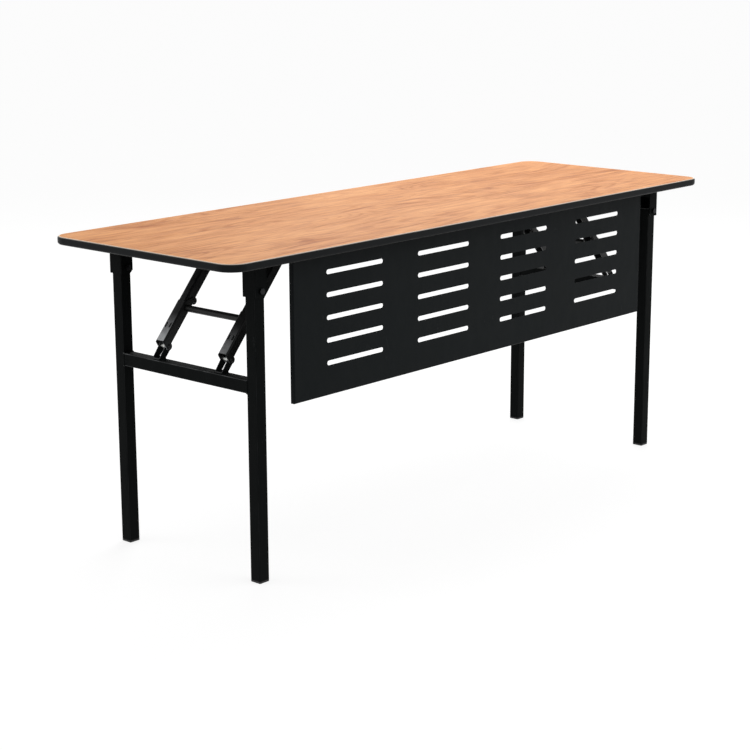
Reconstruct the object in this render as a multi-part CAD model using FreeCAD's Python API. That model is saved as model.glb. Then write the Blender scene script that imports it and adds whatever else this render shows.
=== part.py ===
import FreeCAD, Part
import math
import os

# Folding conference table with two folding end frames, in millimetres.
# Origin on the floor under the middle of the top, X along the length, -Y towards the front panel, +Z up.

Vector = FreeCAD.Vector

# Whole table
table_length = 1800.0
table_depth = 600.0
table_height = 750.0

# Laminated top
top_thickness = 18.0
laminate_thickness = 0.8
backing_thickness = 0.8
edge_band_thickness = 3.0
edge_rounding = 5.0
corner_radius = 45.0

# Legs, of square tube, and their plastic foot caps
leg_width = 30.0
leg_wall = 1.5
leg_corner_radius = 2.5
leg_end_inset = 128.0
leg_side_inset = 65.0
foot_height = 5.0
foot_chamfer = 1.0
foot_plug_height = 22.0
foot_plug_wall = 2.0
foot_plug_clearance = 0.1

# Crossbar of each end frame, of the same tube as the legs
crossbar_top_height = 466.0

# Leg hinge brackets, pressed from sheet, and the pivot bolts
pivot_drop = 64.0
bracket_drop = 78.0
bracket_wall = 2.5
bracket_lip_height = 26.0
bracket_side_gap = 3.0
bracket_stop_gap = 0.3
bracket_overhang = 2.0
bracket_chamfer = 7.0
bracket_tab_width = 22.0
bolt_diameter = 8.0
bolt_head_width = 13.0
bolt_head_height = 5.3
bolt_projection = 2.0
nut_height = 6.5
spacer_diameter = 20.0
pivot_play = 0.1
running_clearance = 0.06

# Folding braces: two links on each, with their pivots near the free edges of the channels
brace_offset = 104.0
link_wall = 2.0
link_width = 28.0
link_web_offset = 22.0
link_edge_offset = 1.0
link_ear_radius = 9.0
link_side_gap = 0.3
link_butt_gap = 0.3
link_bend = 4.0
link_foot = 2.0
knee_share = 0.4456
knee_lap = 16.0
lower_web_start = 2.0
upper_web_setback = 10.0
slit_length = 8.0
slit_width = 2.2
slit_spacing = 13.0
lower_slit_drop = 81.0
upper_slit_rise = 19.0
rivet_diameter = 6.0
rivet_head_diameter = 11.0
rivet_head_height = 2.2
rivet_dome_share = 0.7

# Clevis on the crossbar, with a spacer sleeve between its cheeks, and anchor bracket under the top
clevis_inset = 25.0
clevis_rise = 26.0
clevis_setback = 10.0
sleeve_diameter = 14.0
anchor_run = 207.0
anchor_drop = 26.0
anchor_ear_radius = 10.0
anchor_tab_width = 20.0
anchor_half_length = 16.0

# Tie rod between the two braces of an end frame
rod_diameter = 16.0
rod_wall = 1.5
rod_below_knee = 25.0
rod_towards_web = 7.5

# Front panel of slotted sheet
panel_inset = 45.0
panel_leg_gap = 84.0
panel_height = 331.0
panel_wall = 1.2
panel_flange_depth = 25.0
panel_return_depth = 12.0
panel_bend = 2.5
slot_length_share = 0.605
slot_height = 11.0
slot_columns = 4
slot_rows = 5
slot_pitch_share = 0.2333
slot_row_pitch = 52.25
slot_top_drop = 47.0
panel_screw_count = 6

# Screws into the top
screw_diameter = 4.0
screw_head_diameter = 8.5
screw_head_height = 2.4
screw_depth = 12.0
screw_clearance = 0.05

# How far a cutting tool runs past the piece that it cuts, and how nearly parallel two directions must be
overrun = 5.0
parallel_share = 0.99

# Places that follow from the sizes above
underside = table_height - top_thickness
leg_outer_x = table_length / 2 - leg_end_inset
leg_x = -(leg_outer_x - leg_width / 2)
leg_y = table_depth / 2 - leg_side_inset - leg_width / 2
pivot_height = underside - pivot_drop
crossbar_height = crossbar_top_height - leg_width / 2
clevis_pivot = Vector(leg_x + clevis_inset, 0, crossbar_top_height + clevis_rise)
anchor_pivot = Vector(leg_x + anchor_run, 0, underside - anchor_drop)
brace_length = (anchor_pivot - clevis_pivot).Length
lower_length = brace_length * knee_share
upper_length = brace_length - lower_length
along = (anchor_pivot - clevis_pivot) / brace_length
across = Vector(-along.z, 0, along.x)
knee_pivot = clevis_pivot + along * lower_length
inner_width = link_width - (link_wall + link_side_gap) * 2
rivet_radius = rivet_diameter / 2
panel_front = -(table_depth / 2 - panel_inset)
panel_bottom_height = underside - panel_height
panel_half_length = -leg_x - panel_leg_gap
slot_pitch = panel_half_length * 2 * slot_pitch_share
slot_length = slot_pitch * slot_length_share
slot_top_height = underside - slot_top_drop
ends = {"left": False, "right": True}
sides = {"front": -1, "rear": 1}


def block(x_range, y_range, z_range):
    size = [high - low for low, high in (x_range, y_range, z_range)]
    return Part.makeBox(*size, Vector(x_range[0], y_range[0], z_range[0]))


def rod_along_y(radius, centre, y_range):
    start = Vector(centre.x, y_range[0], centre.z)
    return Part.makeCylinder(radius, y_range[1] - y_range[0], start, Vector(0, 1, 0))


def rod_along_z(radius, x, y, z_range):
    return Part.makeCylinder(radius, z_range[1] - z_range[0], Vector(x, y, z_range[0]))


def hexagon_along_y(width, centre, y_range):
    corner = width / math.sqrt(3)
    turns = [math.radians(60 * step) for step in range(7)]
    points = [Vector(centre.x + corner * math.cos(turn), y_range[0], centre.z + corner * math.sin(turn))
              for turn in turns]
    face = Part.Face(Part.makePolygon(points))
    return face.extrude(Vector(0, y_range[1] - y_range[0], 0))


def edges_along(shape, direction):
    found = []
    for edge in shape.Edges:
        if not isinstance(edge.Curve, Part.Line):
            continue
        if abs(edge.tangentAt(edge.FirstParameter).dot(direction)) > parallel_share:
            found.append(edge)
    return found


def rounded_plate(length, depth, radius, z_range):
    plate = block((-length / 2, length / 2), (-depth / 2, depth / 2), z_range)
    return plate.makeFillet(radius, edges_along(plate, Vector(0, 0, 1)))


def square_tube(x_range, y_range, z_range, direction):
    ranges = [x_range, y_range, z_range]
    outer = block(*ranges)
    outer = outer.makeFillet(leg_corner_radius, edges_along(outer, direction))
    inner_ranges = []
    for (low, high), part_of_axis in zip(ranges, direction):
        change = -overrun if part_of_axis else leg_wall
        inner_ranges.append((low + change, high - change))
    inner = block(*inner_ranges)
    inner = inner.makeFillet(leg_corner_radius - leg_wall, edges_along(inner, direction))
    return outer.cut(inner)


# Laminated top: core board, wood-pattern sheet, backing sheet and rounded edge band

def screw_places():
    places = []
    for mirrored in ends.values():
        turn = -1 if mirrored else 1
        for side in sides.values():
            for x, y in bracket_screws(side) + anchor_screws(side):
                places.append((x * turn, y))
    return places + panel_screws()


def top_pieces():
    inner_length = table_length - edge_band_thickness * 2
    inner_depth = table_depth - edge_band_thickness * 2
    inner_radius = corner_radius - edge_band_thickness
    core_bottom = underside + backing_thickness
    core_top = table_height - laminate_thickness
    core = rounded_plate(inner_length, inner_depth, inner_radius, (core_bottom, core_top))
    laminate = rounded_plate(inner_length, inner_depth, inner_radius, (core_top, table_height))
    backing = rounded_plate(inner_length, inner_depth, inner_radius, (underside, core_bottom))
    hole_range = (underside - overrun, underside + screw_depth)
    holes = [rod_along_z(screw_diameter / 2 + screw_clearance, x, y, hole_range) for x, y in screw_places()]
    core = core.cut(holes)
    backing = backing.cut(holes)
    outer = rounded_plate(table_length, table_depth, corner_radius, (underside, table_height))
    rims = [edge for edge in outer.Edges if abs(edge.BoundBox.ZLength) < screw_clearance]
    outer = outer.makeFillet(edge_rounding, rims)
    hollow = rounded_plate(inner_length, inner_depth, inner_radius,
                           (underside - overrun, table_height + overrun))
    return {"top_core_board": core, "top_wood_laminate": laminate, "top_backing_sheet": backing,
            "top_edge_band": outer.cut(hollow)}


def screw(x, y, seat_height):
    shank = rod_along_z(screw_diameter / 2, x, y, (seat_height, underside + screw_depth - screw_clearance))
    head = rod_along_z(screw_head_diameter / 2, x, y, (seat_height - screw_head_height, seat_height))
    return shank.fuse(head).removeSplitter()


# Front panel: a shallow tray with a flange under the top and rows of round-ended slots

def panel_screws():
    spacing = panel_half_length * 2 / panel_screw_count
    y = panel_front + panel_wall + (panel_flange_depth - panel_wall) / 2
    return [(-panel_half_length + spacing * (number + 0.5), y) for number in range(panel_screw_count)]


def round_ended_slot(x, z):
    radius = slot_height / 2
    reach = slot_length / 2 - radius
    y_range = (panel_front - overrun, panel_front + panel_wall + overrun)
    slot = block((x - reach, x + reach), y_range, (z - radius, z + radius))
    tips = [rod_along_y(radius, Vector(x + reach * turn, 0, z), y_range) for turn in (-1, 1)]
    return slot.fuse(tips)


def folded_front(tray, radius):
    front_edges = [edge for edge in tray.Edges if edge.BoundBox.YMax < panel_front + panel_bend]
    return tray.makeFillet(radius, front_edges)


def front_panel():
    x_range = (-panel_half_length, panel_half_length)
    inner_x = (-panel_half_length + panel_wall, panel_half_length - panel_wall)
    z_range = (panel_bottom_height, underside)
    inner_z = (panel_bottom_height + panel_wall, underside - panel_wall)
    tray = folded_front(block(x_range, (panel_front, panel_front + panel_return_depth), z_range), panel_bend)
    hollow = block(inner_x, (panel_front + panel_wall, panel_front + panel_return_depth + overrun), inner_z)
    tray = tray.cut(folded_front(hollow, panel_bend - panel_wall))
    flange = block(x_range, (panel_front + panel_return_depth / 2, panel_front + panel_flange_depth),
                   (inner_z[1], underside))
    panel = tray.fuse(flange).removeSplitter()
    slots = []
    for column in range(slot_columns):
        x = (column - (slot_columns - 1) / 2) * slot_pitch
        slots += [round_ended_slot(x, slot_top_height - row * slot_row_pitch) for row in range(slot_rows)]
    hole_range = (inner_z[1] - overrun, underside + overrun)
    holes = [rod_along_z(screw_diameter / 2 + screw_clearance, x, y, hole_range) for x, y in panel_screws()]
    return panel.cut(slots + holes)


# Leg hinge bracket: a pressed box with two cheeks, an outer stop wall, an inner lip and two screw tabs

def bracket_x_range():
    outer = leg_x - leg_width / 2 - bracket_stop_gap - bracket_wall
    inner = leg_x + leg_width / 2 + bracket_overhang
    return (outer, inner)


def bracket_half_width():
    return leg_width / 2 + bracket_side_gap + bracket_wall


def bracket_screws(side):
    outer, inner = bracket_x_range()
    quarter = (inner - outer) / 4
    reach = bracket_half_width() + bracket_tab_width / 2
    return [(x, side * leg_y + turn * reach) for x in (outer + quarter, inner - quarter) for turn in (-1, 1)]


def leg_bracket(side):
    y = side * leg_y
    outer, inner = bracket_x_range()
    half = bracket_half_width()
    bottom = underside - bracket_drop
    box = block((outer, inner), (y - half, y + half), (bottom, underside))
    box = box.makeFillet(bracket_wall, [edge for edge in edges_along(box, Vector(0, 0, 1))
                                        if edge.BoundBox.XMax < leg_x])
    cavity_half = half - bracket_wall
    cavity = block((outer + bracket_wall, inner - bracket_wall), (y - cavity_half, y + cavity_half),
                   (bottom - overrun, underside - bracket_wall))
    doorway = block((leg_x, inner + overrun), (y - cavity_half, y + cavity_half),
                    (bottom - overrun, underside - bracket_lip_height))
    shell = box.cut([cavity, doorway])
    start = y - half - overrun
    corner = [Vector(inner, start, bottom), Vector(inner - bracket_chamfer, start, bottom),
              Vector(inner, start, bottom + bracket_chamfer)]
    wedge = Part.Face(Part.makePolygon(corner + corner[:1])).extrude(Vector(0, (half + overrun) * 2, 0))
    reach = half + bracket_tab_width
    tabs = block((outer + bracket_wall, inner), (y - reach, y + reach), (underside - bracket_wall, underside))
    tabs = tabs.makeFillet(bracket_tab_width / 4, edges_along(tabs, Vector(0, 0, 1)))
    bore = rod_along_y(bolt_diameter / 2, Vector(leg_x, 0, pivot_height), (y - reach, y + reach))
    holes = [rod_along_z(screw_diameter / 2 + screw_clearance, screw_x, screw_y,
                         (underside - bracket_wall - overrun, underside + overrun))
             for screw_x, screw_y in bracket_screws(side)]
    return shell.cut([wedge, bore]).fuse(tabs).removeSplitter().cut(holes)


def pivot_bolt(side):
    y = side * leg_y
    centre = Vector(leg_x, 0, pivot_height)
    seat = y + side * bracket_half_width()
    head_end = seat + side * bolt_head_height
    tip = y - side * (bracket_half_width() + nut_height + bolt_projection)
    head = hexagon_along_y(bolt_head_width, centre, sorted((seat, head_end)))
    return head.fuse(rod_along_y(bolt_diameter / 2, centre, sorted((seat, tip)))).removeSplitter()


def pivot_nut(side):
    y = side * leg_y
    centre = Vector(leg_x, 0, pivot_height)
    seat = y - side * bracket_half_width()
    y_range = sorted((seat, seat - side * nut_height))
    bore = rod_along_y(bolt_diameter / 2, centre, (y_range[0] - overrun, y_range[1] + overrun))
    return hexagon_along_y(bolt_head_width, centre, y_range).cut(bore)


def pivot_spacers(side):
    y = side * leg_y
    centre = Vector(leg_x, 0, pivot_height)
    rings = []
    for turn in (-1, 1):
        near = leg_width / 2 + pivot_play
        far = leg_width / 2 + bracket_side_gap
        y_range = sorted((y + turn * near, y + turn * far))
        ring = rod_along_y(spacer_diameter / 2, centre, y_range)
        rings.append(ring.cut(rod_along_y(bolt_diameter / 2, centre, y_range)))
    return rings


# End frame: two legs with rounded tops, a crossbar between them and plastic caps in their feet

def leg(side):
    y = side * leg_y
    half = leg_width / 2
    x_range = (leg_x - half, leg_x + half)
    y_range = (y - half, y + half)
    tube = square_tube(x_range, y_range, (foot_height, pivot_height + half), Vector(0, 0, 1))
    centre = Vector(leg_x, 0, pivot_height)
    wide_y = (y - half - overrun, y + half + overrun)
    crown = block((leg_x - half - overrun, leg_x + half + overrun), wide_y,
                  (pivot_height, pivot_height + leg_width))
    crown = crown.cut(rod_along_y(half, centre, wide_y))
    bore = rod_along_y(bolt_diameter / 2 + running_clearance, centre, wide_y)
    return tube.cut([crown, bore])


def crossbar():
    half = leg_width / 2
    reach = leg_y - half
    return square_tube((leg_x - half, leg_x + half), (-reach, reach),
                       (crossbar_height - half, crossbar_height + half), Vector(0, 1, 0))


def foot_cap(side):
    y = side * leg_y
    half = leg_width / 2
    pad = block((leg_x - half, leg_x + half), (y - half, y + half), (0, foot_height))
    pad = pad.makeFillet(leg_corner_radius, edges_along(pad, Vector(0, 0, 1)))
    pad = pad.makeChamfer(foot_chamfer, [edge for edge in pad.Edges if edge.BoundBox.ZMax < foot_height / 2])
    plug_half = half - leg_wall - foot_plug_clearance
    top = foot_height + foot_plug_height
    plug = block((leg_x - plug_half, leg_x + plug_half), (y - plug_half, y + plug_half), (foot_height, top))
    core_half = plug_half - foot_plug_wall
    plug = plug.makeFillet(leg_corner_radius - leg_wall, edges_along(plug, Vector(0, 0, 1)))
    core = block((leg_x - core_half, leg_x + core_half), (y - core_half, y + core_half),
                 (foot_height, top + overrun))
    return pad.fuse(plug.cut(core)).removeSplitter()


# Folding brace: outlines of the links are drawn in the plane of the brace, from its two pivots

def in_plane(pivot, u, w):
    return pivot + along * u + across * w


def tangent_turn(point, radius, turn):
    distance = math.hypot(*point)
    return math.atan2(point[1], point[0]) + turn * math.acos(radius / distance)


def link_outline(pivot, length, start_corner, end_corner, radius):
    free = math.sqrt(radius ** 2 - link_edge_offset ** 2)
    edge_turn = math.asin(link_edge_offset / radius)
    first_turn = tangent_turn(start_corner, radius, 1)
    last_turn = tangent_turn(end_corner, radius, -1)
    full = 2 * math.pi

    def on_ear(centre, turn):
        return in_plane(pivot, centre + radius * math.cos(turn), radius * math.sin(turn))

    start_web = in_plane(pivot, *start_corner)
    end_web = in_plane(pivot, length + end_corner[0], end_corner[1])
    start_ear = on_ear(0, first_turn)
    start_edge = in_plane(pivot, free, -link_edge_offset)
    end_edge = in_plane(pivot, length - free, -link_edge_offset)
    end_ear = on_ear(length, last_turn)
    start_middle = on_ear(0, (first_turn + full - edge_turn) / 2)
    end_middle = on_ear(length, (math.pi + edge_turn + full + last_turn) / 2)
    return Part.Wire([
        Part.LineSegment(start_web, start_ear).toShape(),
        Part.Arc(start_ear, start_middle, start_edge).toShape(),
        Part.LineSegment(start_edge, end_edge).toShape(),
        Part.Arc(end_edge, end_middle, end_ear).toShape(),
        Part.LineSegment(end_ear, end_web).toShape(),
        Part.LineSegment(end_web, start_web).toShape(),
    ])


def across_block(pivot, u_range, w_range, y_range):
    (u_low, u_high), (w_low, w_high) = u_range, w_range
    corners = [(u_low, w_low), (u_high, w_low), (u_high, w_high), (u_low, w_high)]
    points = [in_plane(pivot, u, w) + Vector(0, y_range[0], 0) for u, w in corners]
    face = Part.Face(Part.makePolygon(points + points[:1]))
    return face.extrude(Vector(0, y_range[1] - y_range[0], 0))


def bent(shape, pivot, radius):
    bends = [edge for edge in edges_along(shape, along)
             if (edge.CenterOfMass - pivot).dot(across) > link_web_offset / 2]
    return shape.makeFillet(radius, bends)


def channel_link(outline, pivot, web_range, width, slit_place):
    half = width / 2
    flange = Part.Face(outline)
    body = bent(flange.extrude(Vector(0, width, 0)).translated(Vector(0, -half, 0)), pivot, link_bend)
    inside = link_web_offset - link_wall
    hollow_half = half - link_wall
    far = lower_length + upper_length
    hollow = across_block(pivot, (-far, far), (-far, inside), (-hollow_half, hollow_half))
    hollow = bent(hollow, pivot, link_bend - link_wall)
    below = across_block(pivot, (-far, web_range[0]), (-far, far), (-hollow_half, hollow_half))
    above = across_block(pivot, (web_range[1], far), (-far, far), (-hollow_half, hollow_half))
    slits = []
    for turn in (-1, 1):
        middle = turn * slit_spacing / 2
        slits.append(across_block(pivot, (slit_place - slit_length / 2, slit_place + slit_length / 2),
                                  (inside - overrun, link_web_offset + overrun),
                                  (middle - slit_width / 2, middle + slit_width / 2)))
    return body.cut([hollow, below, above] + slits)


def lower_link(side):
    outline = link_outline(clevis_pivot, lower_length, (-link_foot, link_web_offset),
                           (-knee_lap, link_web_offset), link_ear_radius)
    link = channel_link(outline, clevis_pivot, (lower_web_start, lower_length - knee_lap), link_width,
                        lower_length - lower_slit_drop)
    bores = [rod_along_y(rivet_radius, pivot, (-link_width, link_width))
             for pivot in (clevis_pivot, knee_pivot)]
    return link.cut(bores).translated(Vector(0, side * brace_offset, 0))


def upper_link(side):
    start = -(knee_lap - link_butt_gap)
    outline = link_outline(knee_pivot, upper_length, (start, link_web_offset), (link_foot, link_web_offset),
                           link_ear_radius)
    link = channel_link(outline, knee_pivot, (start, upper_length - upper_web_setback), inner_width,
                        upper_slit_rise)
    bores = [rod_along_y(rivet_radius + running_clearance, pivot, (-link_width, link_width))
             for pivot in (knee_pivot, anchor_pivot)]
    return link.cut(bores).translated(Vector(0, side * brace_offset, 0))


def rivet(pivot, y_in, y_out, y_tail):
    turn = 1 if y_out > y_in else -1
    shank = rod_along_y(rivet_radius, pivot, sorted((y_in, y_out)))
    head = rod_along_y(rivet_head_diameter / 2, pivot, sorted((y_out, y_out + turn * rivet_head_height)))
    rim = [edge for edge in head.Edges if isinstance(edge.Curve, Part.Circle)
           and abs(edge.Curve.Center.y - y_out) > rivet_head_height / 2]
    pieces = [head.makeChamfer(rivet_head_height * rivet_dome_share, rim)]
    if y_tail is not None:
        pieces.append(rod_along_y(rivet_head_diameter / 2, pivot, sorted((y_in, y_tail))))
    return shank.fuse(pieces).removeSplitter()


def knee_rivets(side):
    y = side * brace_offset
    inside = inner_width / 2 - link_wall - pivot_play
    tail = inside - rivet_head_height
    return [rivet(knee_pivot, y + turn * inside, y + turn * link_width / 2, y + turn * tail)
            for turn in (-1, 1)]


def clevis_rivets(side):
    y = side * brace_offset
    return [rivet(clevis_pivot, y + turn * (link_width / 2 - link_wall), y + turn * link_width / 2, None)
            for turn in (-1, 1)]


def anchor_rivets(side):
    y = side * brace_offset
    inside = inner_width / 2 - link_wall - pivot_play
    tail = inside - rivet_head_height
    return [rivet(anchor_pivot, y + turn * inside, y + turn * link_width / 2, y + turn * tail)
            for turn in (-1, 1)]


# Clevis welded on the crossbar, its spacer sleeve, and anchor bracket screwed under the top

def rounded_tab(pivot, radius, base_height, y_range):
    tab = block((pivot.x - radius, pivot.x + radius), y_range, sorted((base_height, pivot.z)))
    return tab.fuse(rod_along_y(radius, pivot, y_range)).removeSplitter()


def leaning_tab(base_range, y_range):
    rise = crossbar_top_height - clevis_pivot.z
    start_turn = tangent_turn((base_range[1] - clevis_pivot.x, rise), link_ear_radius, 1)
    end_turn = tangent_turn((base_range[0] - clevis_pivot.x, rise), link_ear_radius, -1)

    def on_ear(turn):
        reach = Vector(math.cos(turn), 0, math.sin(turn)) * link_ear_radius
        return clevis_pivot + reach

    base = [Vector(x, 0, crossbar_top_height) for x in base_range]
    middle = on_ear((start_turn + end_turn) / 2 + math.pi)
    outline = Part.Wire([
        Part.LineSegment(base[0], base[1]).toShape(),
        Part.LineSegment(base[1], on_ear(start_turn)).toShape(),
        Part.Arc(on_ear(start_turn), middle, on_ear(end_turn)).toShape(),
        Part.LineSegment(on_ear(end_turn), base[0]).toShape(),
    ])
    tab = Part.Face(outline).extrude(Vector(0, y_range[1] - y_range[0], 0))
    return tab.translated(Vector(0, y_range[0], 0))


def clevis(side):
    y = side * brace_offset
    half = inner_width / 2
    body = leaning_tab((leg_x - leg_width / 2 + clevis_setback, leg_x + leg_width / 2), (y - half, y + half))
    hollow_half = half - link_wall
    hollow = block((leg_x - leg_width, clevis_pivot.x + leg_width), (y - hollow_half, y + hollow_half),
                   (crossbar_top_height + link_wall, underside))
    bore = rod_along_y(rivet_radius + running_clearance, clevis_pivot, (y - link_width, y + link_width))
    return body.cut([hollow, bore])


def spacer_sleeve(side):
    y = side * brace_offset
    reach = inner_width / 2 - link_wall - pivot_play
    sleeve = rod_along_y(sleeve_diameter / 2, clevis_pivot, (y - reach, y + reach))
    return sleeve.cut(rod_along_y(rivet_radius, clevis_pivot, (y - link_width, y + link_width)))


def anchor_screws(side):
    reach = link_width / 2 + anchor_tab_width / 2
    return [(anchor_pivot.x, side * brace_offset + turn * reach) for turn in (-1, 1)]


def anchor_bracket(side):
    y = side * brace_offset
    half = link_width / 2
    ears = rounded_tab(anchor_pivot, anchor_ear_radius, underside, (y - half, y + half))
    hollow_half = half - link_wall
    hollow = block((anchor_pivot.x - leg_width, anchor_pivot.x + leg_width),
                   (y - hollow_half, y + hollow_half), (pivot_height, underside - link_wall))
    reach = half + anchor_tab_width
    plate = block((anchor_pivot.x - anchor_half_length, anchor_pivot.x + anchor_half_length),
                  (y - reach, y + reach), (underside - link_wall, underside))
    plate = plate.makeFillet(anchor_tab_width / 4, edges_along(plate, Vector(0, 0, 1)))
    holes = [rod_along_z(screw_diameter / 2 + screw_clearance, screw_x, screw_y,
                         (underside - link_wall - overrun, underside + overrun))
             for screw_x, screw_y in anchor_screws(side)]
    bore = rod_along_y(rivet_radius, anchor_pivot, (y - link_width, y + link_width))
    return ears.cut([hollow, bore]).fuse(plate).removeSplitter().cut(holes)


def tie_rod():
    centre = in_plane(knee_pivot, -rod_below_knee, rod_towards_web)
    reach = brace_offset - link_width / 2
    outer = rod_along_y(rod_diameter / 2, centre, (-reach, reach))
    return outer.cut(rod_along_y(rod_diameter / 2 - rod_wall, centre, (-reach - overrun, reach + overrun)))


# Each end has the same set of pieces; the right end is the mirror image of the left one

def end_pieces():
    pieces = {"crossbar": crossbar(), "brace_tie_rod": tie_rod()}
    for name, side in sides.items():
        pieces[name + "_leg"] = leg(side)
        pieces[name + "_foot_cap"] = foot_cap(side)
        pieces[name + "_leg_bracket"] = leg_bracket(side)
        pieces[name + "_lower_link"] = lower_link(side)
        pieces[name + "_upper_link"] = upper_link(side)
        pieces[name + "_brace_clevis"] = clevis(side)
        pieces[name + "_brace_anchor"] = anchor_bracket(side)
    groups = {
        "leg_pivot_bolts": [pivot_bolt(side) for side in sides.values()],
        "leg_pivot_nuts": [pivot_nut(side) for side in sides.values()],
        "leg_pivot_spacers": [ring for side in sides.values() for ring in pivot_spacers(side)],
        "knee_rivets": [one for side in sides.values() for one in knee_rivets(side)],
        "brace_sleeves": [spacer_sleeve(side) for side in sides.values()],
        "clevis_rivets": [one for side in sides.values() for one in clevis_rivets(side)],
        "anchor_rivets": [one for side in sides.values() for one in anchor_rivets(side)],
        "bracket_screws": [screw(x, y, underside - bracket_wall)
                           for side in sides.values() for x, y in bracket_screws(side)],
        "anchor_screws": [screw(x, y, underside - link_wall)
                          for side in sides.values() for x, y in anchor_screws(side)],
    }
    for name, solids in groups.items():
        pieces[name] = Part.makeCompound(solids)
    return pieces


nodes = top_pieces()
nodes["front_panel"] = front_panel()
panel_fixings = [screw(x, y, underside - panel_wall) for x, y in panel_screws()]
nodes["front_panel_screws"] = Part.makeCompound(panel_fixings)
for piece, shape in end_pieces().items():
    for end, mirrored in ends.items():
        placed = shape.mirror(Vector(0, 0, 0), Vector(1, 0, 0)) if mirrored else shape
        nodes[end + "_" + piece] = placed

os.makedirs("parts", exist_ok=True)
for node, shape in nodes.items():
    shape.exportStep("parts/" + node + ".step")
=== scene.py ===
import bpy
import bmesh
import math
from mathutils import Matrix, Vector


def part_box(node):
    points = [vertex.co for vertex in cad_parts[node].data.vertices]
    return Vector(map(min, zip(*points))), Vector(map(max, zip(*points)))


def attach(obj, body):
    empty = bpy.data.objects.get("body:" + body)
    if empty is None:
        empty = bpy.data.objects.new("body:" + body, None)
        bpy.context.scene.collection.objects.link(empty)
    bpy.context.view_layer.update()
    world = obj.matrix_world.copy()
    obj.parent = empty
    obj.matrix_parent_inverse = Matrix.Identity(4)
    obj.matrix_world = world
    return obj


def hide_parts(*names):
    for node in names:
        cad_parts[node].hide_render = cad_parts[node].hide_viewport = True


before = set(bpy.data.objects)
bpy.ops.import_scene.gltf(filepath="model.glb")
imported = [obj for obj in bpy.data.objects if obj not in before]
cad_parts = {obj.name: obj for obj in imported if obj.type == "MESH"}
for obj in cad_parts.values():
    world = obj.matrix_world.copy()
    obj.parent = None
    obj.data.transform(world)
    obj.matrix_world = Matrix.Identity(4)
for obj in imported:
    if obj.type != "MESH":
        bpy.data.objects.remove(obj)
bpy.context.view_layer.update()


# Core board of the top: a slab of pressed wood chips and resin, sawn to size and drilled from below
# for the screws. The sheets and the edge band cover it, so only its holes could ever be seen.

chip_scale = 240.0
chip_stretch = (1.0, 1.6, 4.0)
chip_shades = ((0.1, (0.62, 0.45, 0.27)), (0.5, (0.48, 0.33, 0.18)), (0.9, (0.33, 0.21, 0.11)))
chip_roughness = (0.75, 0.95)


def start_finish(name):
    finish = bpy.data.materials.new(name)
    finish.use_nodes = True
    tree = finish.node_tree
    place = tree.nodes.new("ShaderNodeTexCoord").outputs["Object"]
    return finish, tree, tree.nodes["Principled BSDF"], place


def stretch(tree, place, scale):
    mapping = tree.nodes.new("ShaderNodeMapping")
    mapping.inputs["Scale"].default_value = scale
    tree.links.new(place, mapping.inputs["Vector"])
    return mapping.outputs["Vector"]


def shades(tree, value, stops):
    ramp = tree.nodes.new("ShaderNodeValToRGB")
    ramp.color_ramp.elements[0].position = stops[0][0]
    ramp.color_ramp.elements[0].color = (*stops[0][1], 1)
    ramp.color_ramp.elements[1].position = stops[-1][0]
    ramp.color_ramp.elements[1].color = (*stops[-1][1], 1)
    for position, colour in stops[1:-1]:
        ramp.color_ramp.elements.new(position).color = (*colour, 1)
    tree.links.new(value, ramp.inputs["Fac"])
    return ramp.outputs["Color"]


def spread(tree, value, source, target):
    reach = tree.nodes.new("ShaderNodeMapRange")
    reach.inputs["From Min"].default_value = source[0]
    reach.inputs["From Max"].default_value = source[1]
    reach.inputs["To Min"].default_value = target[0]
    reach.inputs["To Max"].default_value = target[1]
    tree.links.new(value, reach.inputs["Value"])
    return reach.outputs["Result"]


def finish_skin(tree, surface, colour, roughness):
    tree.links.new(colour, surface.inputs["Base Color"])
    tree.links.new(roughness, surface.inputs["Roughness"])


def relief(tree, surface, height, distance, strength):
    bump = tree.nodes.new("ShaderNodeBump")
    bump.inputs["Distance"].default_value = distance
    bump.inputs["Strength"].default_value = strength
    tree.links.new(height, bump.inputs["Height"])
    tree.links.new(bump.outputs["Normal"], surface.inputs["Normal"])


def dress(finish, *names):
    for name in names:
        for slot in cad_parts[name].material_slots:
            slot.material = finish


chipboard, tree, surface, place = start_finish("pressed_chips")
chip_pattern = tree.nodes.new("ShaderNodeTexVoronoi")
chip_pattern.inputs["Scale"].default_value = chip_scale
tree.links.new(stretch(tree, place, chip_stretch), chip_pattern.inputs["Vector"])
chips = chip_pattern.outputs["Distance"]
finish_skin(tree, surface, shades(tree, chips, chip_shades), spread(tree, chips, (0.0, 1.0), chip_roughness))
relief(tree, surface, chips, distance=0.0004, strength=0.6)
dress(chipboard, "top_core_board")


# Backing sheet: a thin plain laminate pressed on the underside to keep the board flat.
# It is dark and matt, with a faint cloudy print and fine handling scuffs.

noise_span = (0.3, 0.7)
backing_dark = (0.070, 0.067, 0.063)
backing_light = (0.105, 0.100, 0.094)
scuff_stretch = (6.0, 90.0, 1.0)
backing_roughness = (0.55, 0.75)


def mottle(tree, place, scale, detail, distortion=0.0):
    noise = tree.nodes.new("ShaderNodeTexNoise")
    noise.inputs["Scale"].default_value = scale
    noise.inputs["Detail"].default_value = detail
    noise.inputs["Distortion"].default_value = distortion
    tree.links.new(place, noise.inputs["Vector"])
    return noise.outputs["Fac"]


def two_shades(tree, value, dark, light):
    return shades(tree, value, ((noise_span[0], dark), (noise_span[1], light)))


backing, tree, surface, place = start_finish("backing_laminate")
clouds = mottle(tree, place, scale=14.0, detail=6.0)
scuffs = mottle(tree, stretch(tree, place, scuff_stretch), scale=4.0, detail=8.0, distortion=0.6)
finish_skin(tree, surface, two_shades(tree, clouds, backing_dark, backing_light),
            spread(tree, scuffs, noise_span, backing_roughness))
relief(tree, surface, mottle(tree, place, scale=1400.0, detail=2.0), distance=0.00006, strength=0.35)
dress(backing, "top_backing_sheet")


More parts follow.
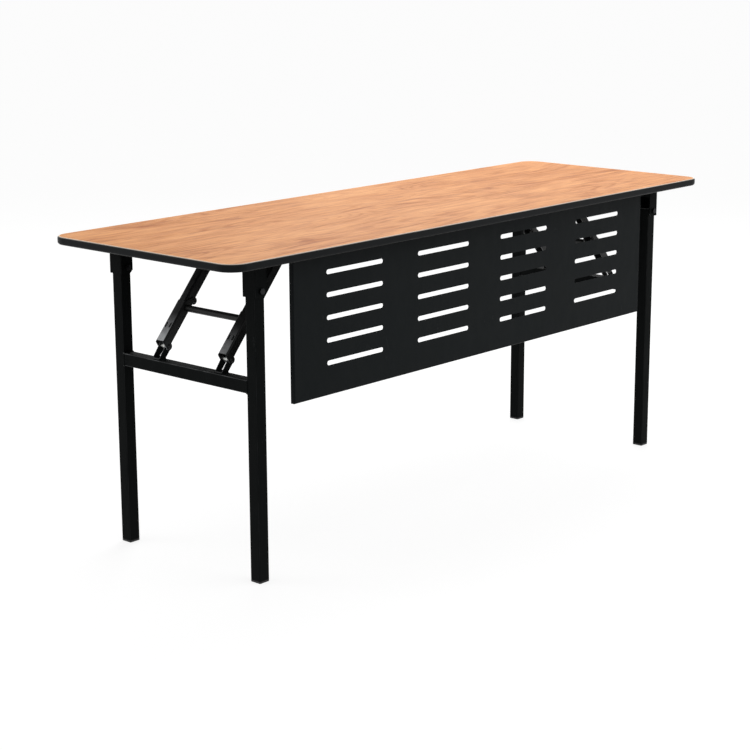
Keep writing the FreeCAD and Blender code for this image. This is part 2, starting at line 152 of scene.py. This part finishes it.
# Wood-pattern sheet: a high-pressure laminate glued on the board, printed with straight orange-tan grain
# that runs along the table: pale wood, darker ring lines, pores and flecks. A thin pale line is painted
# along its edge, beside the edge band.

sheet_half = Vector((0.897, 0.297, 0.0))
sheet_corner = 0.042
# A thin pale line is painted along the sheet's edge, beside the edge band.
pale_edge_start, pale_edge_full = 0.0026, 0.0016
pale_edge_strength = 0.85
pale_edge_colour = (0.86, 0.74, 0.60)
wood_shades = ((0.38, (0.43, 0.162, 0.050)), (0.46, (0.57, 0.240, 0.084)),
               (0.54, (0.66, 0.300, 0.115)), (0.64, (0.76, 0.380, 0.163)))
ring_tint = (0.76, 0.63, 0.50)
pore_tint = (0.66, 0.52, 0.42)
fleck_tint = (0.62, 0.48, 0.36)
ring_count = 130.0
streak_share, fibre_share, broad_share = 0.42, 0.24, 0.34
wood_roughness = (0.46, 0.60)
wood_shine = 0.07


def blend_colours(tree, kind, amount, first, second):
    mix = tree.nodes.new("ShaderNodeMix")
    mix.data_type = "RGBA"
    mix.blend_type = kind
    tree.links.new(amount, mix.inputs["Factor"])
    for colour, socket in ((first, mix.inputs["A"]), (second, mix.inputs["B"])):
        if isinstance(colour, tuple):
            socket.default_value = (*colour, 1)
        else:
            tree.links.new(colour, socket)
    return mix.outputs["Result"]


def combine(tree, operation, first, second=None):
    step = tree.nodes.new("ShaderNodeMath")
    step.operation = operation
    tree.links.new(first, step.inputs[0])
    if isinstance(second, float):
        step.inputs[1].default_value = second
    elif second is not None:
        tree.links.new(second, step.inputs[1])
    return step.outputs["Value"]


def vector_step(tree, operation, first, second=None):
    step = tree.nodes.new("ShaderNodeVectorMath")
    step.operation = operation
    tree.links.new(first, step.inputs[0])
    if second is not None:
        step.inputs[1].default_value = second
    return step.outputs["Value" if operation in ("LENGTH", "DOT_PRODUCT") else "Vector"]


laminate, tree, surface, place = start_finish("wood_grain_laminate")
broad = mottle(tree, stretch(tree, place, (1.6, 7.0, 1.0)), scale=2.0, detail=4.0, distortion=0.8)
streaks = mottle(tree, stretch(tree, place, (3.0, 70.0, 1.0)), scale=2.6, detail=12.0, distortion=0.3)
fibres = mottle(tree, stretch(tree, place, (10.0, 300.0, 1.0)), scale=2.0, detail=5.0)
flecks = mottle(tree, stretch(tree, place, (14.0, 120.0, 1.0)), scale=2.0, detail=6.0, distortion=0.6)
growth = mottle(tree, stretch(tree, place, (0.55, 3.0, 1.0)), scale=2.0, detail=1.5, distortion=0.3)

growth = combine(tree, "ADD", growth, combine(tree, "MULTIPLY", streaks, 0.030))
rings = combine(tree, "SINE", combine(tree, "MULTIPLY", growth, ring_count))
late_wood = combine(tree, "MULTIPLY", spread(tree, rings, (0.2, 0.95), (0.0, 1.0)),
                    spread(tree, broad, (0.36, 0.58), (0.9, 0.3)))
pores = spread(tree, fibres, (0.34, 0.46), (0.45, 0.0))
dark_flecks = combine(tree, "MULTIPLY", spread(tree, flecks, (0.60, 0.68), (0.0, 0.8)),
                      spread(tree, broad, (0.40, 0.52), (1.0, 0.15)))

grain = combine(tree, "ADD", combine(tree, "MULTIPLY", streaks, streak_share),
                combine(tree, "MULTIPLY", fibres, fibre_share))
grain = combine(tree, "ADD", grain, combine(tree, "MULTIPLY", broad, broad_share))
wood = shades(tree, grain, wood_shades)
for amount, tint in ((late_wood, ring_tint), (pores, pore_tint), (dark_flecks, fleck_tint)):
    wood = blend_colours(tree, "MULTIPLY", amount, wood, tint)

flat = vector_step(tree, "ABSOLUTE", vector_step(tree, "MULTIPLY", place, (1, 1, 0)))
past = vector_step(tree, "SUBTRACT", flat, (sheet_half.x - sheet_corner, sheet_half.y - sheet_corner, 0))
from_corner = vector_step(tree, "LENGTH", vector_step(tree, "MAXIMUM", past, (0, 0, 0)))
# Mask of the thin pale line painted along the sheet's edge.
pale_edge_line = spread(tree, from_corner, (sheet_corner - pale_edge_start, sheet_corner - pale_edge_full),
                 (0.0, pale_edge_strength))
finish_skin(tree, surface, blend_colours(tree, "MIX", pale_edge_line, wood, pale_edge_colour),
            spread(tree, streaks, noise_span, wood_roughness))
surface.inputs["Specular IOR Level"].default_value = wood_shine
ridges = combine(tree, "ADD", fibres, combine(tree, "MULTIPLY", streaks, 0.5))
relief(tree, surface, ridges, distance=0.00008, strength=0.5)
dress(laminate, "top_wood_laminate")


# Edge band: an extruded black plastic strip, glued round the top and rounded over above and below.
# It has fine lines along its length from the extruder, a slight satin sheen and a painted highlight,
# a pale line along its rounded top edge.

band_dark = (0.0040, 0.0051, 0.0058)
band_light = (0.0075, 0.0090, 0.0101)
band_roughness = (0.40, 0.54)
band_shine = 0.09
# Painted highlight: a pale line along the rounded top edge of the band.
glint_start, glint_full = 0.0012, 0.0004
glint_strength = 0.9
glint_colour = (0.46, 0.42, 0.37)


def height_of(tree, place):
    split = tree.nodes.new("ShaderNodeSeparateXYZ")
    tree.links.new(place, split.inputs["Vector"])
    return split.outputs["Z"]


band, tree, surface, place = start_finish("edge_plastic")
lines = mottle(tree, stretch(tree, place, (1.2, 1.2, 700.0)), scale=2.0, detail=3.0)
patches = mottle(tree, place, scale=30.0, detail=5.0)
band_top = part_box("top_edge_band")[1].z
# Mask of the painted highlight along the band's top edge.
glint_line = spread(tree, height_of(tree, place), (band_top - glint_start, band_top - glint_full),
                 (0.0, glint_strength))
plastic = two_shades(tree, patches, band_dark, band_light)
finish_skin(tree, surface, blend_colours(tree, "MIX", glint_line, plastic, glint_colour),
            spread(tree, patches, noise_span, band_roughness))
surface.inputs["Specular IOR Level"].default_value = band_shine
fine_grain = mottle(tree, place, scale=1800.0, detail=2.0)
relief(tree, surface, combine(tree, "ADD", lines, fine_grain), distance=0.00005, strength=0.4)
dress(band, "top_edge_band")


# Front panel: sheet steel with punched slots and folded edges, screwed under the front of the top.
# Its black powder coat has a fine orange-peel skin, a few pale rubbed spots and a painted highlight along
# its lower lip.

panel_dark = (0.0052, 0.0071, 0.0077)
panel_light = (0.0081, 0.0104, 0.0111)
spot_colour = (0.060, 0.062, 0.064)
# Painted highlight along the panel's bottom edge, where the fold catches light.
lip_highlight_colour = (0.16, 0.155, 0.15)
lip_highlight_full, lip_highlight_end = 0.0006, 0.0022


def powder_coat(name, dark, light, roughness, shine, peel_scale):
    finish, tree, surface, place = start_finish(name)
    drift = mottle(tree, place, scale=5.0, detail=6.0)
    specks = mottle(tree, place, scale=520.0, detail=3.0)
    rubs = mottle(tree, stretch(tree, place, (1.0, 1.0, 0.4)), scale=46.0, detail=9.0, distortion=0.8)
    peel = mottle(tree, place, scale=peel_scale, detail=2.0)
    worn = combine(tree, "MULTIPLY", spread(tree, rubs, (0.66, 0.74), (0.0, 1.0)),
                   spread(tree, specks, (0.45, 0.60), (0.0, 0.35)))
    painted = blend_colours(tree, "MIX", worn, two_shades(tree, drift, dark, light), spot_colour)
    finish_skin(tree, surface, painted,
                spread(tree, combine(tree, "ADD", drift, rubs), (0.7, 1.3), roughness))
    surface.inputs["Specular IOR Level"].default_value = shine
    relief(tree, surface, combine(tree, "ADD", peel, specks), distance=0.00012, strength=0.45)
    return finish


def reopen(finish):
    tree = finish.node_tree
    spot = next(node for node in tree.nodes if node.type == "TEX_COORD")
    return tree, spot.outputs["Object"], spot.outputs["Normal"]


# Lays a colour over the coat's paint: painted highlights, and on the frame corners wear as well.
def paint_highlight_and_wear(tree, amount, colour):
    paint = tree.nodes["Principled BSDF"].inputs["Base Color"]
    tree.links.new(blend_colours(tree, "MIX", amount, paint.links[0].from_socket, colour), paint)


panel_coat = powder_coat("panel_coat", panel_dark, panel_light, roughness=(0.48, 0.60), shine=0.07,
                         peel_scale=380.0)
tree, place = reopen(panel_coat)[:2]
panel_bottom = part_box("front_panel")[0].z
# Painted highlight: a pale line along the panel's bottom edge.
lip_highlight = spread(tree, height_of(tree, place), (panel_bottom + lip_highlight_full, panel_bottom + lip_highlight_end), (1.0, 0.0))
uneven = mottle(tree, stretch(tree, place, (1.0, 1.0, 0.1)), scale=24.0, detail=6.0)
paint_highlight_and_wear(tree, combine(tree, "MULTIPLY", lip_highlight, spread(tree, uneven, (0.35, 0.6), (0.1, 0.8))), lip_highlight_colour)
dress(panel_coat, "front_panel")


# End frames: square steel tube, two legs and a crossbar welded between them, with a clevis for each brace.
# The whole frame is coated after welding. Its rounded corners are painted grey, partly as wear and partly
# as a painted highlight, strongly along the crossbars and much less along the legs.

frame_dark = (0.0030, 0.0037, 0.0037)
frame_light = (0.0052, 0.0062, 0.0062)
# Grey on the tube corners: partly wear, partly a painted highlight along the edges.
corner_highlight_and_wear_colour = (0.19, 0.193, 0.198)
leg_corner_share = 0.58

frame_coat = powder_coat("frame_coat", frame_dark, frame_light, roughness=(0.56, 0.70), shine=0.04,
                         peel_scale=420.0)
tree, place, facing = reopen(frame_coat)
sides = tree.nodes.new("ShaderNodeSeparateXYZ")
tree.links.new(vector_step(tree, "ABSOLUTE", facing), sides.inputs["Vector"])
bar_corner = combine(tree, "MULTIPLY", sides.outputs["X"], sides.outputs["Z"])
leg_corner = combine(tree, "MULTIPLY", sides.outputs["X"], sides.outputs["Y"])
corner = combine(tree, "MAXIMUM", bar_corner, combine(tree, "MULTIPLY", leg_corner, leg_corner_share))
uneven = mottle(tree, place, scale=16.0, detail=7.0, distortion=0.4)
# Mask of the grey corners, partly wear and partly painted highlight.
highlight_and_wear = combine(tree, "MULTIPLY", spread(tree, corner, (0.26, 0.44), (0.0, 1.0)),
                 spread(tree, uneven, (0.40, 0.62), (0.25, 1.0)))
paint_highlight_and_wear(tree, highlight_and_wear, corner_highlight_and_wear_colour)
for end in ("left", "right"):
    for piece in ("front_leg", "rear_leg", "crossbar", "front_brace_clevis", "rear_brace_clevis"):
        dress(frame_coat, end + "_" + piece)


# Welds: rippled fillets laid by hand round each end of the crossbars and along the feet of the clevises,
# ground a little and coated together with the tubes.

weld_radius = 0.0022
clevis_weld_radius = weld_radius * 0.7
weld_corner = 0.0025
weld_sides = 8
weld_steps = 12
weld_swell = 1.16
corner_steps = 4
merge_distance = 0.00001
sharp_angle = math.radians(50)
weld_runs = (((0, 0, 1), (1, 1)), ((-1, 0, 0), (-1, 1)), ((0, 0, -1), (-1, -1)), ((1, 0, 0), (1, -1)))


def corners_of(parts):
    return [part for part in parts if isinstance(part, bmesh.types.BMVert)]


def edges_of(parts):
    return [part for part in parts if isinstance(part, bmesh.types.BMEdge)]


def rippled_run(build, ring, along):
    for step in range(weld_steps):
        made = bmesh.ops.extrude_edge_only(build, edges=ring)["geom"]
        corners = corners_of(made)
        bmesh.ops.translate(build, verts=corners, vec=along / weld_steps)
        middle = sum((corner.co for corner in corners), Vector()) / len(corners)
        swell = weld_swell if step % 2 else 1 / weld_swell
        bmesh.ops.scale(build, verts=corners, vec=(swell, swell, swell), space=Matrix.Translation(-middle))
        ring = edges_of(made)
    return ring


def add_piece(name, build, finish):
    bmesh.ops.recalc_face_normals(build, faces=build.faces)
    for face in build.faces:
        face.smooth = True
    for edge in build.edges:
        edge.smooth = edge.calc_face_angle(0.0) < sharp_angle
    mesh = bpy.data.meshes.new(name)
    build.to_mesh(mesh)
    build.free()
    mesh.materials.append(finish)
    piece = bpy.data.objects.new(name, mesh)
    bpy.context.scene.collection.objects.link(piece)
    return piece


for end in ("left", "right"):
    bar_low, bar_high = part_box(end + "_crossbar")
    bar_middle = (bar_low + bar_high) / 2
    bar_half = (bar_high.x - bar_low.x) / 2
    inner = bar_half - weld_corner
    for side, y in (("front", bar_low.y), ("rear", bar_high.y)):
        build = bmesh.new()
        centre = Vector((bar_middle.x, y, bar_middle.z))
        start = Matrix.Translation(centre + Vector((bar_half, 0, -inner)))
        bmesh.ops.create_circle(build, segments=weld_sides, radius=weld_radius, matrix=start)
        ring = list(build.edges)
        for run, corner in weld_runs:
            ring = rippled_run(build, ring, Vector(run) * inner * 2)
            pivot = centre + Vector((corner[0] * inner, 0, corner[1] * inner))
            turned = bmesh.ops.spin(build, geom=ring, cent=pivot, axis=(0, -1, 0), angle=math.pi / 2,
                                    steps=corner_steps)
            ring = edges_of(turned["geom_last"])
        bmesh.ops.remove_doubles(build, verts=build.verts, dist=merge_distance)
        weld = add_piece(end + "_" + side + "_crossbar_weld", build, frame_coat)
        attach(weld, end + "_leg_frame")

        clevis_low, clevis_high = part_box(end + "_" + side + "_brace_clevis")
        foot_start = max(bar_low.x, clevis_low.x)
        foot_end = min(bar_high.x, clevis_high.x)
        build = bmesh.new()
        for cheek_y in (clevis_low.y, clevis_high.y):
            before = set(build.edges)
            start = Matrix.Translation((foot_start, cheek_y, clevis_low.z))
            bmesh.ops.create_circle(build, segments=weld_sides, radius=clevis_weld_radius, cap_ends=True,
                                    matrix=start @ Matrix.Rotation(math.pi / 2, 4, "Y"))
            ring = [edge for edge in build.edges if edge not in before]
            ring = rippled_run(build, ring, Vector((foot_end - foot_start, 0, 0)))
            bmesh.ops.contextual_create(build, geom=ring)
        weld = add_piece(end + "_" + side + "_clevis_weld", build, frame_coat)
        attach(weld, end + "_leg_frame")


# Foot caps: moulded plastic plugs pushed into the open ends of the legs, matt and finely grained,
# scuffed grey where they meet the floor.

cap_colour = (0.012, 0.012, 0.012)
scuffed_cap_colour = (0.09, 0.088, 0.085)
scuff_height = 0.003
scuff_most = 0.6
cap_roughness = (0.52, 0.8)
cap_shine = 0.35

cap_plastic, tree, surface, place = start_finish("cap_plastic")
scuff = combine(tree, "MULTIPLY", spread(tree, height_of(tree, place), (0.0, scuff_height), (1.0, 0.0)),
                spread(tree, mottle(tree, place, scale=300.0, detail=6.0), (0.4, 0.6), (0.0, scuff_most)))
finish_skin(tree, surface, blend_colours(tree, "MIX", scuff, cap_colour, scuffed_cap_colour),
            spread(tree, scuff, (0.0, scuff_most), cap_roughness))
surface.inputs["Specular IOR Level"].default_value = cap_shine
relief(tree, surface, mottle(tree, place, scale=1500.0, detail=2.0), distance=0.00010, strength=0.5)
for end in ("left", "right"):
    dress(cap_plastic, end + "_front_foot_cap", end + "_rear_foot_cap")


# Leg hinges: pressed sheet brackets screwed under the top, each holding a leg between two nylon washers
# on one bolt. Brackets are coated like the frame, bolts and nuts are blackened steel.

black_dark, black_light = (0.016, 0.016, 0.018), (0.034, 0.034, 0.036)
nylon_dark, nylon_light = (0.014, 0.014, 0.015), (0.024, 0.024, 0.025)
nylon_roughness = (0.42, 0.58)


def bright_metal(name, dark, light, roughness):
    metal, tree, surface, place = start_finish(name)
    tarnish = mottle(tree, place, scale=160.0, detail=6.0)
    turning = mottle(tree, stretch(tree, place, (1.0, 1.0, 30.0)), scale=220.0, detail=4.0)
    finish_skin(tree, surface, two_shades(tree, tarnish, dark, light),
                spread(tree, turning, noise_span, roughness))
    surface.inputs["Metallic"].default_value = 1.0
    relief(tree, surface, turning, distance=0.00003, strength=0.4)
    return metal


blackened = bright_metal("blackened_steel", black_dark, black_light, roughness=(0.34, 0.52))
nylon, tree, surface, place = start_finish("washer_nylon")
haze = mottle(tree, place, scale=400.0, detail=4.0)
finish_skin(tree, surface, two_shades(tree, haze, nylon_dark, nylon_light),
            spread(tree, haze, noise_span, nylon_roughness))
relief(tree, surface, haze, distance=0.00004, strength=0.4)
for end in ("left", "right"):
    dress(frame_coat, end + "_front_leg_bracket", end + "_rear_leg_bracket")
    dress(blackened, end + "_leg_pivot_bolts", end + "_leg_pivot_nuts")
    dress(nylon, end + "_leg_pivot_spacers")


# Screws: zinc-plated wood screws with a domed head and a cross recess, driven up into the board from below
# through the brackets, the anchors and the flange of the panel. A flat plate with a sunk cross makes
# the crown; its rim is drawn out ring by ring into the dome, the seat and the shank.

zinc_dark, zinc_light = (0.42, 0.43, 0.42), (0.58, 0.58, 0.55)
cross_cells = 5
cross_reach = 0.0023
cross_depth = 0.0012
cross_taper = 0.75
head_height = 0.0024
shank_radius = 0.0020
tip_depth = 0.0001
screw_rings = ((0.00345, 0.08), (0.00385, 0.30), (0.00415, 0.62), (0.00425, 0.90), (0.00425, 1.0),
               (shank_radius, 1.0))


def screw_places(node):
    low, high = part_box(node)
    tips = []
    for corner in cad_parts[node].data.vertices:
        if corner.co.z > high.z - tip_depth:
            tip = next((tip for tip in tips if (tip[0] - corner.co).length < shank_radius * 3), None)
            if tip is None:
                tips.append([corner.co.copy()])
            else:
                tip.append(corner.co.copy())
    places = []
    for tip in tips:
        across = [corner.x for corner in tip]
        along = [corner.y for corner in tip]
        places.append(Vector(((min(across) + max(across)) / 2, (min(along) + max(along)) / 2, low.z)))
    return places, high.z - low.z


def round_ring(build, rim, place, radius, height):
    made = bmesh.ops.extrude_edge_only(build, edges=rim)["geom"]
    for corner in corners_of(made):
        across = Vector((corner.co.x - place.x, corner.co.y - place.y, 0))
        corner.co = place + across.normalized() * radius + Vector((0, 0, height))
    return edges_of(made)


def add_screw(build, place, length):
    made = bmesh.ops.create_grid(build, x_segments=cross_cells, y_segments=cross_cells, size=cross_reach,
                                 matrix=Matrix.Translation(place))
    plate = set(made["verts"])
    rim = [edge for edge in build.edges if edge.is_boundary and edge.verts[0] in plate]
    cross = []
    for face in build.faces:
        off = face.calc_center_median() - place
        if face.verts[0] in plate and min(abs(off.x), abs(off.y)) < cross_reach / cross_cells:
            cross.append(face)
    for radius, share in screw_rings:
        rim = round_ring(build, rim, place, radius, head_height * share)
    rim = round_ring(build, rim, place, shank_radius, length)
    bmesh.ops.contextual_create(build, geom=rim)
    recess = corners_of(bmesh.ops.extrude_face_region(build, geom=cross)["geom"])
    bmesh.ops.translate(build, verts=recess, vec=(0, 0, cross_depth))
    bmesh.ops.scale(build, verts=recess, vec=(cross_taper, cross_taper, 1.0),
                    space=Matrix.Translation(-place))
    bmesh.ops.delete(build, geom=[face for face in cross if face.is_valid], context="FACES_ONLY")


zinc = bright_metal("zinc_plate", zinc_dark, zinc_light, roughness=(0.26, 0.42))
for node in ("left_bracket_screws", "left_anchor_screws", "right_bracket_screws", "right_anchor_screws",
             "front_panel_screws"):
    build = bmesh.new()
    places, length = screw_places(node)
    for place in places:
        add_screw(build, place, length)
    screws = add_piece(node.replace("screws", "cross_screws"), build, zinc)
    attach(screws, "top")
    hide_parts(node)


# Folding braces: nested channels of pressed steel, riveted at the knee, the clevis and the anchor under the
# top, with a tube between the two braces of an end so that they fold together, and a zinc-plated sleeve
# in each clevis.

brace_dark = (0.0036, 0.0040, 0.0041)
brace_light = (0.0065, 0.0070, 0.0072)

brace_coat = powder_coat("brace_coat", brace_dark, brace_light, roughness=(0.30, 0.42), shine=0.24,
                         peel_scale=460.0)
for end in ("left", "right"):
    for piece in ("front_upper_link", "rear_upper_link", "brace_tie_rod", "front_brace_anchor",
                  "rear_brace_anchor", "knee_rivets", "clevis_rivets", "anchor_rivets"):
        dress(brace_coat, end + "_" + piece)
    dress(zinc, end + "_brace_sleeves")


# Lower links: the longer channel of each brace, punched with a pair of slits in its web. Each is the solid's
# own mesh with the slits opened to their full size. Its coat carries a painted highlight, a light grey on
# the outer face, brightest towards the clevis and stronger on the rear links than on the front ones.

link_outward = (0.762, 0.0, 0.648)
link_lean = math.atan2(link_outward[0], link_outward[2])
# Painted highlight: this light grey stands in for the sheen of light on the outer face of the lower links.
link_highlight_colour = (0.66, 0.675, 0.69)
highlight_bottom, highlight_top = 0.025, 0.030
highlight_fall = 1.25
front_highlight_share = 0.42
middle_strip = 0.02
slit_offset = 0.0065
slit_reach = 0.0015
slit_growth = (1.6, 2.2, 1.0)

# A copy of the brace coat that carries the painted highlight of the lower links.
highlight_brace_coat = brace_coat.copy()
highlight_brace_coat.name = "painted_highlight_brace_coat"
tree, place, facing = reopen(highlight_brace_coat)
split = tree.nodes.new("ShaderNodeSeparateXYZ")
tree.links.new(place, split.inputs["Vector"])
link_low, link_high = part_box("left_front_lower_link")
lower_part = spread(tree, split.outputs["Z"], (link_low.z + highlight_bottom, link_high.z - highlight_top), (1.0, 0.0))
lower_part = combine(tree, "POWER", lower_part, highlight_fall)
rear_part = spread(tree, split.outputs["Y"], (-middle_strip, middle_strip), (front_highlight_share, 1.0))
outward = vector_step(tree, "DOT_PRODUCT", vector_step(tree, "ABSOLUTE", facing), link_outward)
outer_face = spread(tree, outward, (0.93, 0.99), (0.0, 1.0))
uneven = spread(tree, mottle(tree, place, scale=70.0, detail=8.0), (0.3, 0.6), (0.75, 1.0))
# Mask of the painted highlight: strongest at the clevis end of the outer face, more on the rear links.
highlight_and_wear = lower_part
for share in (outer_face, rear_part, uneven):
    highlight_and_wear = combine(tree, "MULTIPLY", highlight_and_wear, share)
paint_highlight_and_wear(tree, highlight_and_wear, link_highlight_colour)

for end, lean in (("left", link_lean), ("right", -link_lean)):
    for side in ("front", "rear"):
        node = end + "_" + side + "_lower_link"
        build = bmesh.new()
        build.from_mesh(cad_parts[node].data)
        bmesh.ops.remove_doubles(build, verts=build.verts, dist=merge_distance)
        link_low, link_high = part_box(node)
        for offset in (-slit_offset, slit_offset):
            slit_y = (link_low.y + link_high.y) / 2 + offset
            slit = [corner for corner in build.verts if abs(corner.co.y - slit_y) < slit_reach]
            middle = sum((corner.co for corner in slit), Vector()) / len(slit)
            bmesh.ops.scale(build, verts=slit, vec=slit_growth,
                            space=Matrix.Rotation(lean, 4, "Y") @ Matrix.Translation(-middle))
        link = add_piece(end + "_" + side + "_slit_link", build, highlight_brace_coat)
        if link.data.has_custom_normals:
            link.data.attributes.remove(link.data.attributes["custom_normal"])
        link.modifiers.new("even_shading", "WEIGHTED_NORMAL").keep_sharp = True
        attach(link, end + "_lower_links")
        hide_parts(node)


# Floor: a plain white studio floor that keeps a soft shadow under the table.
# Seen from below it is clear, so that the underside of the table shows.

floor_half = 60.0
floor_glow = 0.80
floor_grey = (0.26, 0.26, 0.26, 1)


def background_rays(tree):
    ray = tree.nodes.new("ShaderNodeLightPath")
    mirrored = combine(tree, "MAXIMUM", ray.outputs["Is Glossy Ray"], ray.outputs["Is Transmission Ray"])
    return combine(tree, "MAXIMUM", ray.outputs["Is Camera Ray"], mirrored)


build = bmesh.new()
bmesh.ops.create_grid(build, x_segments=1, y_segments=1, size=floor_half)
floor_mesh = bpy.data.meshes.new("studio_floor")
build.to_mesh(floor_mesh)
build.free()
floor = bpy.data.objects.new("studio_floor", floor_mesh)
bpy.context.scene.collection.objects.link(floor)
white = bpy.data.materials.new("studio_white")
white.use_nodes = True
tree = white.node_tree
tree.nodes.remove(tree.nodes["Principled BSDF"])
glow = tree.nodes.new("ShaderNodeEmission")
tree.links.new(combine(tree, "MULTIPLY", background_rays(tree), floor_glow), glow.inputs["Strength"])
matt = tree.nodes.new("ShaderNodeBsdfDiffuse")
matt.inputs["Color"].default_value = floor_grey
both = tree.nodes.new("ShaderNodeAddShader")
tree.links.new(glow.outputs["Emission"], both.inputs[0])
tree.links.new(matt.outputs["BSDF"], both.inputs[1])
one_sided = tree.nodes.new("ShaderNodeMixShader")
tree.links.new(tree.nodes.new("ShaderNodeNewGeometry").outputs["Backfacing"], one_sided.inputs["Fac"])
tree.links.new(both.outputs["Shader"], one_sided.inputs[1])
tree.links.new(tree.nodes.new("ShaderNodeBsdfTransparent").outputs["BSDF"], one_sided.inputs[2])
tree.links.new(one_sided.outputs["Shader"], tree.nodes["Material Output"].inputs["Surface"])
floor_mesh.materials.append(white)


# Light: an even white room and three large soft lamps, one high in front of the table, one over its far end
# and one behind its near end that glances off the braces.

room_light = 0.66
room_seen = 1.0

world = bpy.data.worlds.new("studio")
world.use_nodes = True
tree = world.node_tree
tree.nodes["Background"].inputs["Color"].default_value = (1, 1, 1, 1)
tree.links.new(spread(tree, background_rays(tree), (0.0, 1.0), (room_light, room_seen)),
               tree.nodes["Background"].inputs["Strength"])
bpy.context.scene.world = world


def soft_lamp(name, spot, target, size, power):
    lamp_data = bpy.data.lights.new(name, "AREA")
    lamp_data.size = size
    lamp_data.energy = power
    lamp = bpy.data.objects.new(name, lamp_data)
    lamp.location = spot
    lamp.rotation_euler = (Vector(target) - Vector(spot)).to_track_quat("-Z", "Y").to_euler()
    bpy.context.scene.collection.objects.link(lamp)


soft_lamp("key_lamp", spot=(0.8, -2.4, 3.4), target=(0.3, 0, 0.6), size=2.4, power=26.0)
soft_lamp("far_lamp", spot=(2.0, 1.2, 2.9), target=(0.4, 0, 0.7), size=2.4, power=68.0)
soft_lamp("glance_lamp", spot=(-2.72, 2.18, 2.79), target=(-0.74, -0.1, 0.5), size=1.6, power=16.0)


# Camera: a long lens at eye height, off the front left corner of the table. It is turned towards the table,
# tipped down and rolled by a trace, as the photograph was taken.

camera_spot = (-3.5819, -3.1051, 1.4538)
camera_lens, camera_sensor = 90.65, 36.0
view_turn, view_drop, view_roll = math.radians(48.100), math.radians(13.623), math.radians(-0.234)

forward = Vector((math.sin(view_turn) * math.cos(view_drop), math.cos(view_turn) * math.cos(view_drop),
                  -math.sin(view_drop)))
level = forward.cross(Vector((0, 0, 1))).normalized()
upright = level.cross(forward)
right = level * math.cos(view_roll) + upright * math.sin(view_roll)
up = upright * math.cos(view_roll) - level * math.sin(view_roll)
camera_data = bpy.data.cameras.new("camera")
camera_data.sensor_width = camera_sensor
camera_data.lens = camera_lens
camera_data.clip_end = 200.0
camera = bpy.data.objects.new("camera", camera_data)
camera.matrix_world = Matrix.Translation(camera_spot) @ Matrix((right, up, -forward)).transposed().to_4x4()
bpy.context.scene.collection.objects.link(camera)
bpy.context.scene.camera = camera
bpy.context.scene.view_settings.view_transform = "Standard"
